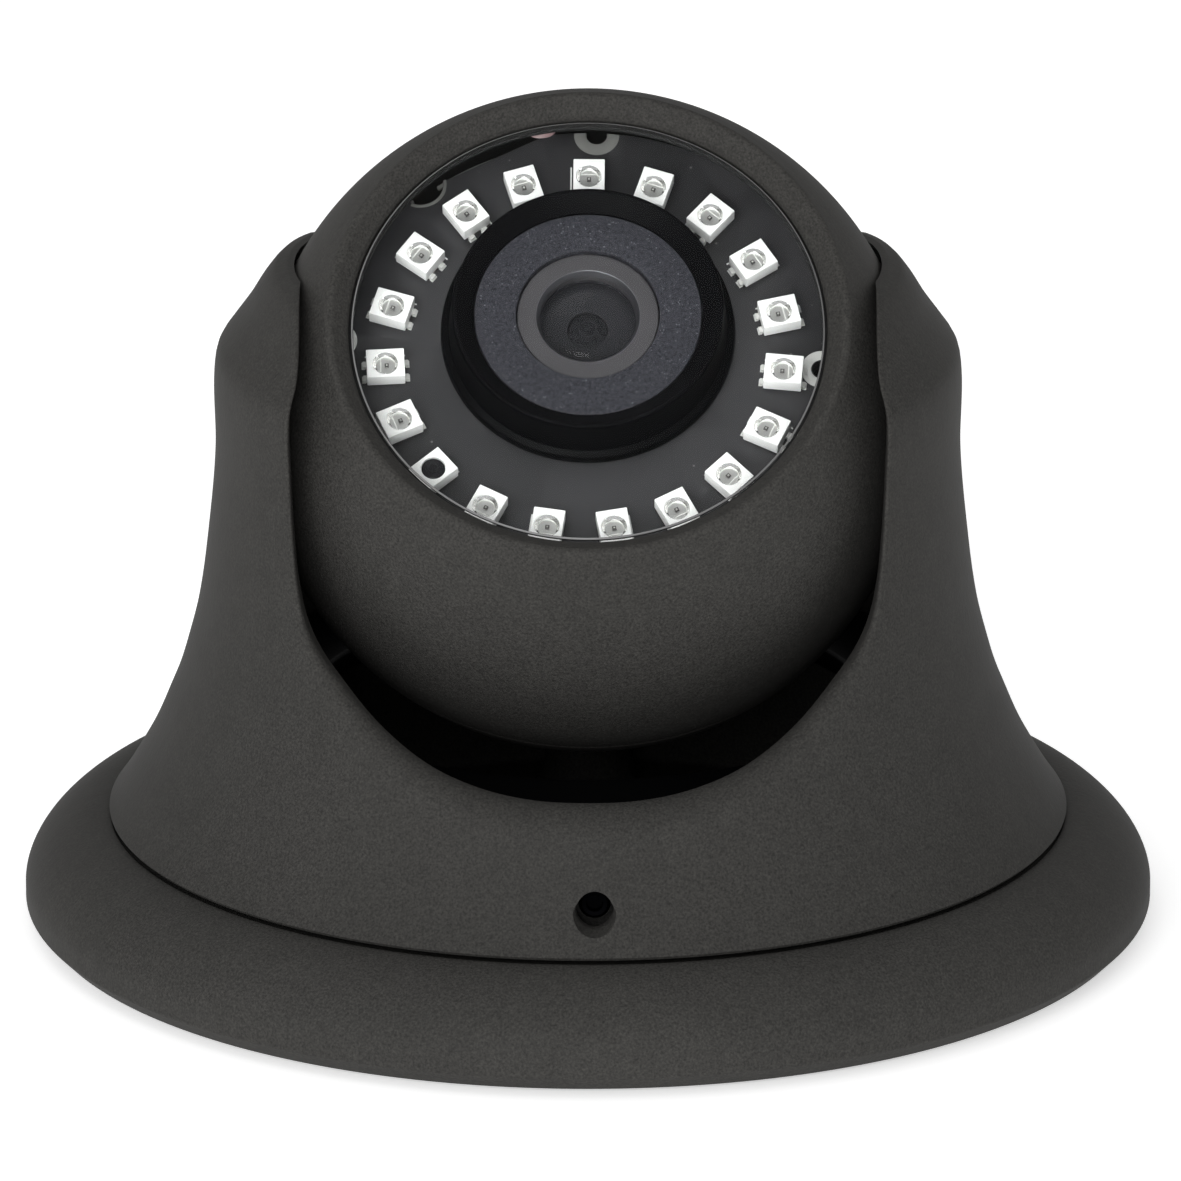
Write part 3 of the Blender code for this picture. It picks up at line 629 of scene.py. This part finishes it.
def make_cover():
    outer, outer_length = curve_through(COVER_OUTER)
    seat = arc(EAR_SEAT_RADIUS, 53.7, EAR_TOP, 14, BALL_CENTRE_Z)
    inner = curve_through(COVER_INNER)[0] + [Vector(p) for p in seat]
    inner_length = [0.0]
    for p, q in zip(inner, inner[1:]):
        inner_length.append(inner_length[-1] + (q - p).length)
    outer_z, outer_r = [p.y for p in outer], [p.x for p in outer]
    inner_z, inner_r = [p.y for p in inner], [p.x for p in inner]

    # where the opening's wall runs, from the middle of its bottom up to the ear's top
    smooth_path, path_length = curve_through([(-x, z) for x, z in OPENING[2:0:-1]] + OPENING)
    middle = min(range(len(smooth_path)), key=lambda k: abs(smooth_path[k].x) + smooth_path[k].y * 0.001)
    start = path_length[middle]
    path = []
    for i in range(73):
        place = start + (path_length[-1] - start) * i / 72
        path.append((look_up([p.x for p in smooth_path], path_length, place),
                     look_up([p.y for p in smooth_path], path_length, place)))
    path[0] = (0.0, OPENING[0][1])

    columns = []
    for i, (x, z) in enumerate(path):
        ahead, behind = path[min(i + 1, len(path) - 1)], path[max(i - 1, 0)]
        tangent = Vector((ahead[0] - behind[0], ahead[1] - behind[1])).normalized()
        normal = Vector((tangent.y, -tangent.x)) if i else Vector((0, -1))
        share = ease((z - 23.0) / 17.0)
        lip = LIP_BOTTOM + (LIP_SIDE - LIP_BOTTOM) * share
        corner_r = look_up(outer_r, outer_z, z)
        corner = Vector((x, -math.sqrt(max(corner_r**2 - x**2, 0)), z))
        edge_z = z + lip * normal.y
        edge_z = min(edge_z, EAR_TOP - 0.45 * ease((z - 60.4) / 2.05))
        edge_r = look_up(outer_r, outer_z, edge_z)
        edge_angle = math.asin(min(1.0, (x + lip * normal.x) / edge_r))
        inside_r = look_up(inner_r, inner_z, z)
        inside = Vector((x, -math.sqrt(max(inside_r**2 - x**2, 0)), z))
        depth = (inside - corner).length
        wall = 0.94 * depth * (1 - share) + min(0.9, 0.5 * depth) * share
        columns.append((corner, edge_angle, edge_z, inside, wall, share))
    last = columns[-1]
    start_corner = math.asin(last[0].x / EAR_TOP_OUTER)
    start_inside = math.asin(last[3].x / EAR_TOP_INNER)
    for i in range(1, 15):
        t = i / 14
        a = start_corner + (math.pi / 2 - start_corner) * t
        b = start_inside + (math.pi / 2 - start_inside) * t
        corner = at(EAR_TOP_OUTER, EAR_TOP, a)
        inside = at(EAR_TOP_INNER, EAR_TOP, b)
        edge_angle = last[1] + (math.pi / 2 - last[1]) * t
        columns.append((corner, edge_angle, last[2], inside, 0.3, 1.0))

    bottom = [(42.4, 9.9), (42.1, 10.1), (40.2, 12.8), (38.6, 16.4), (38.2, 16.8), (33.4, 16.8),
              (33.2, 17.0)]
    bottom += [(33.2, 18.4), (33.4, 18.6), (37.0, 18.6)]
    section = []
    for index, (corner, edge_angle, edge_z, inside, wall, share) in enumerate(columns):
        low_angle = math.pi / 2 * index / (len(columns) - 1)
        points = [at(44.45, 9.9, low_angle)]
        reach = look_up(outer_length, outer_z, edge_z)
        rows = 78
        for k in range(rows + 1):
            v = k / rows
            place = reach * v
            r, z = look_up(outer_r, outer_length, place), look_up(outer_z, outer_length, place)
            points.append(at(r, z, low_angle + (edge_angle - low_angle) * v))
        edge = points[-1]
        end = corner + (inside - corner).normalized() * wall
        for k in range(1, 11):
            t = k / 10
            a, b = edge + (corner - edge) * 0.56, end + (corner - end) * 0.56
            u = 1 - t
            points.append(edge * u**3 + a * 3 * u * u * t + b * 3 * u * t * t + end * t**3)
        for k in range(1, 4):
            points.append(end + (inside - end) * k / 3)
        inside_angle = math.atan2(inside.x, -inside.y)
        reach = look_up(inner_length, inner_z, inside.z)
        rows = 26
        for k in range(1, rows + 1):
            v = k / rows
            place = reach * (1 - v)
            r, z = look_up(inner_r, inner_length, place), look_up(inner_z, inner_length, place)
            points.append(at(r, z, inside_angle + (low_angle - inside_angle) * v))
        points += [at(r, z, low_angle) for r, z in reversed(bottom)]
        section.append(points)

    def back(p):
        """The point's mirror image at the back, where the ears reach further round the ball."""
        x, y, z = p
        if z <= 55.0:
            return x, -y, z
        r = math.hypot(x, y)
        share = min(1.0, max(0.0, (r - x) / (r - OPENING[-1][0]))) ** 2
        x -= EAR_REACH * ease((z - 55.0) / 7.0) * share
        z -= EAR_DROP * ease((z - 56.5) / 5.95) * share
        r_now = math.sqrt(r * r + (p.z - BALL_CENTRE_Z) ** 2 - (z - BALL_CENTRE_Z) ** 2)
        return x, math.sqrt(max(0.0, r_now * r_now - x * x)), z

    # the other three quarters are mirror images; the shared columns are used once
    ring = []
    count = len(section)
    for i in range(count):
        ring.append([(p.x, p.y, p.z) for p in section[i]])
    for i in range(count - 2, -1, -1):
        ring.append([back(p) for p in section[i]])
    for i in range(1, count):
        ring.append([(-x, y, z) for x, y, z in map(back, section[i])])
    for i in range(count - 2, 0, -1):
        ring.append([(-p.x, p.y, p.z) for p in section[i]])
    size = len(ring[0])
    vertices = [v for column in ring for v in column]
    faces = []
    for i in range(len(ring)):
        j = (i + 1) % len(ring)
        for k in range(size):
            m = (k + 1) % size
            faces.append((i * size + k, j * size + k, j * size + m, i * size + m))
    cover = add("bell_cover", vertices, faces, coat_cover, angle=COVER_SHARP_ANGLE)

    lock = [(0, 50), (1.95, 50), (1.95, 42.3), (1.75, 41.9), (1.75, 36), (0, 36)]
    place = Matrix.Translation((LOCK_X * MM, 0, LOCK_Z * MM)) @ Matrix.Rotation(math.pi / 2, 4, "X")
    lock_cutter = revolve("lock_bore", lock, coat_cover, place, 48, False)
    boolean(cover, [lock_cutter], angle=COVER_SHARP_ANGLE)
    pins = join([along_x(25, 33.9, 2.35, BALL_CENTRE_Z), along_x(-33.9, -25, 2.35, BALL_CENTRE_Z)],
                "pin_bores")
    boolean(cover, [pins], angle=COVER_SHARP_ANGLE)
    show(cover, "cover", ["turret_cover"])

    grub = [(0, 38.9), (0.72, 38.9), (0.78, 39.65), (1.15, 39.7), (1.45, 39.4), (1.45, 38.1), (0.9, 37.7),
            (0, 37.7)]
    screw = revolve("lock_screw", grub, dark_steel, place, 48, False)
    show(screw, "cover", ["pan_lock_screw"])
    for side, name in ((-1, "l"), (1, "r")):
        place = Matrix.Translation((0, 0, BALL_CENTRE_Z * MM)) @ Matrix.Rotation(side * math.pi / 2, 4, "Y")
        pin = corners([(0, 33.6), (2.0, 33.6, 0.2), (2.0, 27.0, 0.4), (0, 27.0)], False, 4)
        show(revolve(f"pivot_{name}", pin, steel, place, 48, False), "cover", [f"pivot_pin_{name}"])
        washer = corners([(4.2, 31.5, 0.1), (4.2, 31.05, 0.1), (2.3, 31.05, 0.1), (2.3, 31.5, 0.1)],
                         steps=2)
        piece = revolve(f"bush_{name}", washer, nylon, place, 48)
        show(piece, "cover", [f"pivot_washer_{name}"])


# ---- ball ----
def make_ball():
    ridge_z = math.sqrt(BALL_RADIUS**2 - 23.7**2)
    outside = arc(BALL_RADIUS, ridge_z - 1.1, SPLIT_Z + 0.05, 60)
    inside = arc(BALL_RADIUS - BALL_WALL, SPLIT_Z, 16.1, 30)
    ridge = corners([outside[0], (23.72, ridge_z + 0.1, 1.6), (22.1, RIM_Z + 0.1, 0.4),
                     (RIM_RADIUS, 17.6, 0.2), (RIM_RADIUS, 16.9)], False, 8)
    outline = ridge[::-1][:-1] + outside + [(BALL_RADIUS * 0.9555 - 0.15, SPLIT_Z)]
    outline = outline + inside + [(22.9, 16.25)]
    front = revolve("ball_shell_front", outline, coat_ball_lightened, BALL, 224)
    pins = join([along_x(20, 40, 2.3, BALL_CENTRE_Z), along_x(-40, -20, 2.3, BALL_CENTRE_Z)], "pins")
    boolean(front, [pins])
    show(front, "ball", ["ball_front"])

    hole = 4.0
    back_z = math.sqrt(BALL_RADIUS**2 - hole**2)
    inner_z = math.sqrt((BALL_RADIUS - BALL_WALL) ** 2 - hole**2)
    top = SPLIT_Z - 0.3
    outline = [(29.2, top)] + arc(BALL_RADIUS, top - 0.12, -back_z + 0.1, 60)
    outline += [(hole + 0.2, -back_z), (hole, -back_z + 0.25)]
    outline += arc(BALL_RADIUS - BALL_WALL, -inner_z, top, 30)
    show(revolve("ball_shell_rear", outline, coat_ball_lightened, BALL, 224), "ball", ["ball_rear"])

    seal = corners([(25.7, -7.9, 0.2), (25.7, -10.4, 0.2), (24.8, -10.4, 0.2), (24.8, -7.9, 0.2)], steps=3)
    show(revolve("split_seal", seal, rubber_black, BALL, 120), "ball", ["ball_seal"])
    plug = corners([(0, -27.0), (5.0, -27.0, 0.2), (5.0, -27.55, 0.2), (3.7, -27.55, 0.1),
                    (3.7, -30.4, 0.1), (4.6, -30.6, 0.2), (4.4, -31.0, 0.3), (2.9, -31.3, 0.3),
                    (2.4, -30.9, 0.2), (0, -30.9)], False, 4)
    show(revolve("cable_plug", plug, rubber_black, BALL, 64, False), "ball", ["ball_cable_seal"])


# ---- window ----
def make_window():
    edge = RIM_RADIUS - 0.3
    bevel = 0.1
    pane = [(0, GLASS_Z[1]), (edge - bevel, GLASS_Z[1]), (edge - bevel, GLASS_Z[0]), (0, GLASS_Z[0])]
    glass = revolve("window_pane", pane, window_glass, BALL, 160, False)
    glass.data.materials.append(rubber_black)
    paint(glass, BALL, lambda r, y, z: int(r > edge - bevel - 0.1))
    show(glass, "ball", ["front_glass"])
    # The thin pale grey ring round the top edge of the pane is a painted glint: it stands in for the bright
    # line of light along the glass edge.
    rim = [(edge + 0.04, GLASS_Z[1] - 0.1), (edge + 0.04, GLASS_Z[1] - 0.2),
           (edge - bevel + 0.01, GLASS_Z[1] - 0.14), (edge - bevel + 0.01, GLASS_Z[1] - 0.01)]
    show(revolve("window_ground_edge", rim, painted_glint_grey, BALL, 160), "ball", ())
    seal = corners([(22.7, 16.85, 0.1), (22.7, 16.3, 0.1), (21.48, 16.3, 0.15), (21.48, 16.85, 0.1)],
                   steps=3)
    show(revolve("window_seal", seal, rubber_black, BALL, 128), "ball", ["glass_gasket"])


# ---- infrared board ----
PAD_TOP = (0.8, 23.7)
PAD_LEFT = (-23.1, 2.1)
PAD_RIGHT = (21.45, -0.9)
NOTCH_ANGLE = 130.0


def disc(radius, centre, steps=48):
    return [(centre[0] + radius * math.cos(math.tau * k / steps),
             centre[1] + radius * math.sin(math.tau * k / steps)) for k in range(steps)]


def make_board():
    outline = corners([(0, BOARD_TOP), (BOARD_RADIUS, BOARD_TOP, 0.12),
                       (BOARD_RADIUS, BOARD_TOP - BOARD_THICKNESS, 0.12),
                       (0, BOARD_TOP - BOARD_THICKNESS)], False, 3)
    board = revolve("infrared_board", outline, circuit_board, BALL, 180, False)
    holes = [disc(8.2, (0, LENS_OFFSET), 72)]
    holes += [disc(0.95, PAD_TOP, 36), disc(0.9, PAD_LEFT, 36), disc(0.9, PAD_RIGHT, 36)]
    notch = around(BOARD_RADIUS + 0.1, NOTCH_ANGLE)
    holes.append(disc(2.1, notch, 48))
    flat = ((-0.1, 100), (-1.05, 112), (-1.1, 122), (-0.1, 134), (4, 138), (4, 96))
    holes.append([around(BOARD_RADIUS + out, angle) for out, angle in flat])
    cutters = [prism("hole", hole, 8, 14, circuit_board, BALL) for hole in holes]
    for cutter in cutters:
        boolean(board, [cutter])
    show(board, "ball", ["led_board"])

    pads = []
    for centre, inner, outer_r in ((PAD_TOP, 1.0, 2.1), (PAD_LEFT, 0.98, 1.9), (PAD_RIGHT, 0.98, 1.9)):
        ring = corners([(outer_r, BOARD_TOP + 0.06, 0.05), (outer_r, BOARD_TOP + 0.005),
                        (inner, BOARD_TOP + 0.005), (inner, BOARD_TOP + 0.06, 0.05)], steps=3)
        pads.append(revolve("pad", ring, tin, BALL, 56, shift=centre))
    pad = join(pads, "screw_pads")
    outside = revolve("trim", [(60, 20), (60, 0), (BOARD_RADIUS - 0.12, 0), (BOARD_RADIUS - 0.12, 20)],
                      tin, BALL, 128)
    boolean(pad, [outside])
    pad.data.materials.append(pad_grey)
    paint(pad, BALL, lambda r, y, z: int(y > 20))
    show(pad, "ball", ())

    # slivers of bare copper beside the notch and the flat, and a spot of varnish
    bits = []
    count = 14
    for a0, a1, radius, width in ((103, 127, 23.05, 0.16), (133.5, 141, 23.55, 0.22)):
        ring_points = [around(radius - width, a0 + (a1 - a0) * k / count) for k in range(count + 1)]
        ring_points += [around(radius + width, a1 - (a1 - a0) * k / count) for k in range(count + 1)]
        bits.append(prism("bit", ring_points, BOARD_TOP - 0.9, BOARD_TOP - 0.5, pad_grey, BALL))
    lip_points = [(notch[0] + r * math.cos(a), notch[1] + r * math.sin(a))
                  for r, sweep in ((2.14, 1), (2.42, -1)) for a in
                  [math.radians(NOTCH_ANGLE + 180 + sweep * (-62 + 124 * k / 16)) for k in range(17)]]
    bits.append(prism("bit", lip_points, BOARD_TOP + 0.005, BOARD_TOP + 0.05, pad_grey, BALL))
    show(join(bits, "notch_copper"), "ball", ())
    spot = [(0, 12.35), (0.7, 12.3), (1.2, 12.12), (1.45, 12.01), (0, 12.005)]
    squeezed = BALL @ Matrix.Diagonal((1.0, 0.62, 1.0, 1.0))
    blob = revolve("varnish_spot", spot, pink_label, squeezed, 32, False, shift=(-4.4, 38.7))
    show(blob, "ball", ())


# ---- light emitters ----
def led_meshes():
    """One infrared emitter: a white package with a round cup, a chip, clear resin and four legs. Then
    one light sensor: the same package with a dark round window."""
    def package(cup, side_of_line):
        body = prism("body", box_outline(2.9, 3.5), 0.3, 1.9, led_body, None, 0.09)
        boolean(body, [cup])
        legs = []
        for end in (-1, 1):
            for side in (-0.72, 0.72):
                shape = box_outline(0.6, 0.5, (side, end * 1.86))
                legs.append(prism("leg", shape, 0.03, 0.42, tin, None, 0.06))
                pad = box_outline(0.72, 0.36, (side, end * 2.02))
                legs.append(prism("leg", pad, 0.02, 0.1, tin, None, 0.02))
        legs.append(prism("line", box_outline(0.14, 3.7, (1.66 * side_of_line, 0.0)), 0.015, 0.06,
                          silkscreen))
        return [body] + legs

    emitters = []
    for side_of_line in (-1, 1):
        bowl = revolve("bowl", [(0, 2.4), (1.22, 2.4), (1.22, 1.86), (1.16, 1.8), (0.82, 1.02), (0, 1.02)],
                       led_body, None, 40, False)
        pieces = package(bowl, side_of_line)
        floor_disc = revolve("floor", [(0, 1.07), (0.8, 1.07), (0.8, 1.03), (0, 1.03)], led_cup, None, 32,
                             False)
        gap = prism("gap", box_outline(2.0, 0.1, (0, 0.42)), 0.9, 1.2, led_cup)
        boolean(floor_disc, [gap])
        chip = prism("chip", box_outline(0.36, 0.36, (0, -0.1)), 1.08, 1.22, led_die, None, 0.02)
        bond = prism("bond", box_outline(0.14, 0.14, (0, -0.1)), 1.22, 1.27, tin)
        resin = revolve("resin", [(0, 1.93), (0.6, 1.9), (1.1, 1.83), (1.14, 1.8), (0.84, 1.28),
                                  (0, 1.28)], led_resin, None, 36, False)
        emitters.append(join(pieces + [floor_disc, chip, bond, resin], "emitter"))

    bowl = revolve("bowl", [(0, 2.4), (1.12, 2.4), (1.12, 1.5), (0, 1.5)], led_body, None, 40, False)
    pieces = package(bowl, 1)
    dark = revolve("dark", [(0, 1.86), (0.5, 1.84), (0.92, 1.76), (1.08, 1.66), (1.08, 1.52), (0, 1.52)],
                   sensor_dark, None, 40, False)
    ring = revolve("ring", corners([(0.46, 1.9, 0.03), (0.46, 1.8), (0.38, 1.8), (0.38, 1.9, 0.03)],
                                   steps=2), inner_ring, None, 32)
    sensor = join(pieces + [dark, ring], "sensor")
    return emitters, sensor


def make_leds():
    emitters, sensor = led_meshes()
    spread = random.Random(5)
    number = 0
    for i in range(LED_COUNT):
        turn = -math.tau * i / LED_COUNT - math.radians(LED_RING_TURN)
        skew = math.radians(spread.uniform(-2.2, 2.2))
        nudge = Matrix.Translation((spread.uniform(-0.08, 0.08) * MM, spread.uniform(-0.08, 0.08) * MM, 0))
        place = BALL @ Matrix.Translation((LED_RING_SHIFT * MM, 0, 0)) @ Matrix.Rotation(turn, 4, "Z")
        place = place @ Matrix.Translation((0, LED_CIRCLE * MM, BOARD_TOP * MM))
        place = place @ nudge @ Matrix.Rotation(skew, 4, "Z")
        if i == SENSOR_INDEX:
            name, mesh, cad, slot = "day_sensor", sensor.data, "light_sensor", "sensor_package"
        else:
            number += 1
            source = emitters[1] if i > LED_COUNT // 2 else emitters[0]
            name, mesh, cad, slot = f"emitter_{number:02d}", source.data, f"led_{number:02d}", "led_package"
        obj = new_object(name, mesh)
        obj.matrix_world = place
        show(obj, "ball", [cad])
    for source in (*emitters, sensor):
        bpy.data.objects.remove(source, do_unlink=True)


# ---- hood and lens ----
def make_lens():
    hood = [(12.1, 16.75, 0.12), (12.42, 16.75, 0.12), (12.5, 16.3, 0.3), (12.8, 12.9, 0.25),
            (13.45, 12.6, 0.25), (13.55, 11.8, 0.1), (10.0, 11.8), (10.0, 14.3), (10.5, 14.3),
            (10.5, 15.45, 0.1)]
    hood = revolve("hood", corners(hood, steps=4), matte_plastic, LENS, 144)
    hood.data.materials.append(black_plastic)
    paint(hood, LENS, lambda r, y, z: int(r > 12.4))
    show(hood, "ball", ["lens_hood"])

    plate = corners([(10.42, 15.4, 0.08), (10.42, 14.6), (6.6, 14.6), (6.6, 15.4, 0.08)], steps=3)
    show(revolve("sparkle_ring", plate, textured_plate, LENS, 128), "ball", ["lens_plate"])

    barrel = [(4.75, 15.02, 0.08), (6.5, 15.02, 0.16), (6.5, 13.6), (6.0, 13.2), (6.0, 1.2), (3.6, 1.2),
              (3.6, 9.0), (3.9, 12.2), (4.6, 12.4), (4.6, 14.3), (4.42, 14.45)]
    barrel = revolve("barrel", corners(barrel, steps=4), lens_metal, LENS, 112)
    barrel.data.materials.append(lens_edge)
    barrel.data.materials.append(inner_ring)
    paint(barrel, LENS, lambda r, y, z: 1 if r < 4.95 and z > 14.3 else 2 if r < 4.7 and z < 12.5 else 0)
    show(barrel, "ball", ["lens_barrel"])

    dome = arc(9.0, 14.75, 13.78, 10, 5.75)
    dome = [(r, z) for r, z in dome if r < 4.38]
    dome[0] = (0, 14.75)
    lens = dome + [(4.42, 13.75), (4.42, 13.3), (3.0, 13.6), (1.5, 13.8), (0, 13.86)]
    front = revolve("front_element", lens, lens_glass, LENS, 96, False)
    show(front, "ball", ["lens_front"])
    stop = corners([(4.56, 12.9, 0.1), (4.56, 12.42), (1.78, 12.0), (1.78, 12.32, 0.05),
                    (1.95, 12.4, 0.05), (3.2, 12.6)], steps=3)
    show(revolve("aperture_stop", stop, inner_ring, LENS, 96), "ball", ())
    # The second element is an opaque near-black disc rather than glass: painted shade for the dark inside
    # of the lens, seen through the front element.
    second = [(0, 12.42), (0.6, 12.39), (1.2, 12.27), (1.7, 12.08), (1.7, 10.0), (0, 10.0)]
    show(revolve("second_element", second, lens_shade_dark, LENS, 64, False), "ball", ())
    iris = corners([(0.82, 12.52, 0.03), (0.82, 12.35), (0.7, 12.35), (0.7, 12.52, 0.03)], steps=2)
    show(revolve("iris_ring", iris, inner_ring, LENS, 48), "ball", ())


# ---- CAD nodes that keep their own shape ----
def dress(names, material):
    for name in names:
        nodes[name].data.materials.append(material)
        smooth(nodes[name].data, 30)


make_base()
make_cover()
make_ball()
make_window()
make_board()
make_leds()
make_lens()
dress(["lens_holder", "ir_filter_slide"], black_plastic)
dress(["image_sensor"], sensor_dark)
dress(["sensor_board"], circuit_board)
dress(["board_post_a", "board_post_b", "board_post_c"], nylon)
dress(["ir_filter_glass"], filter_glass)


# ---- floor, light and camera ----
def make_stage():
    bpy.ops.mesh.primitive_plane_add(size=14, location=(0, 0, -0.0003))
    floor = bpy.context.object
    floor.name = "floor"
    n = Nodes("floor")
    colour = n.ramp(n.noise(0.6, 1.0), [(0.3, (0.86, 0.86, 0.86)), (0.7, (0.88, 0.88, 0.88))])
    glow = n.surface(colour, 0.9, specular=0.1)
    away = n.put("ShaderNodeVectorMath", {"Vector": n.coords}, operation="LENGTH").outputs["Value"]
    outside = n.ramp(away, [(0.044, (0.0, 0.0, 0.0)), (0.05, (1.0, 1.0, 1.0))])
    n.tree.links.new(outside, n.shader.inputs["Emission Color"])
    n.shader.inputs["Emission Strength"].default_value = 0.5
    floor.data.materials.append(glow)

    world = bpy.data.worlds.new("studio")
    bpy.context.scene.world = world
    world.use_nodes = True
    back = world.node_tree.nodes["Background"]
    back.inputs["Color"].default_value = (1.0, 1.0, 1.0, 1.0)
    back.inputs["Strength"].default_value = 0.57

    for name, place, size, power in (
        ("top_light", (-0.5, 0.3, 1.4), 1.0, 2.0),
        ("front_light", (-0.6, -1.75, 0.42), 1.3, 24.0),
        ("low_light", (0.1, -1.85, 0.2), 0.4, 4.0),
    ):
        light = bpy.data.lights.new(name, "AREA")
        light.shape = "SQUARE"
        light.size = size
        light.energy = power
        obj = new_object(name, light)
        obj.location = place
        obj.rotation_euler = (Vector((0, 0, 0.03)) - Vector(place)).to_track_quat("-Z", "Y").to_euler()


CAMERA_ELEVATION = 17.8              # degrees
CAMERA_DISTANCE = 1.2                # metres, as the next two are
CAMERA_AIM = (0.000231, 0.015787)    # how far right of the ball's centre and how far below it
VIEW_WIDTH = 0.10935                 # what the frame takes in at that distance


def make_camera():
    elevation = math.radians(CAMERA_ELEVATION)
    up = Vector((0, math.sin(elevation), math.cos(elevation)))
    back = Vector((0, -math.cos(elevation), math.sin(elevation)))
    target = Vector((CAMERA_AIM[0], 0, BALL_CENTRE_Z * MM)) - up * CAMERA_AIM[1]
    data = bpy.data.cameras.new("camera")
    data.sensor_width = 36.0
    data.lens = data.sensor_width * CAMERA_DISTANCE / VIEW_WIDTH
    data.clip_start = 0.01
    data.clip_end = 50.0
    camera = new_object("camera", data)
    camera.location = target + back * CAMERA_DISTANCE
    camera.rotation_euler = (math.pi / 2 - elevation, 0, 0)
    bpy.context.scene.camera = camera


make_stage()
make_camera()
bpy.context.scene.view_settings.view_transform = "Standard"

for orphan in [m for m in bpy.data.meshes if m.users == 0]:
    bpy.data.meshes.remove(orphan)
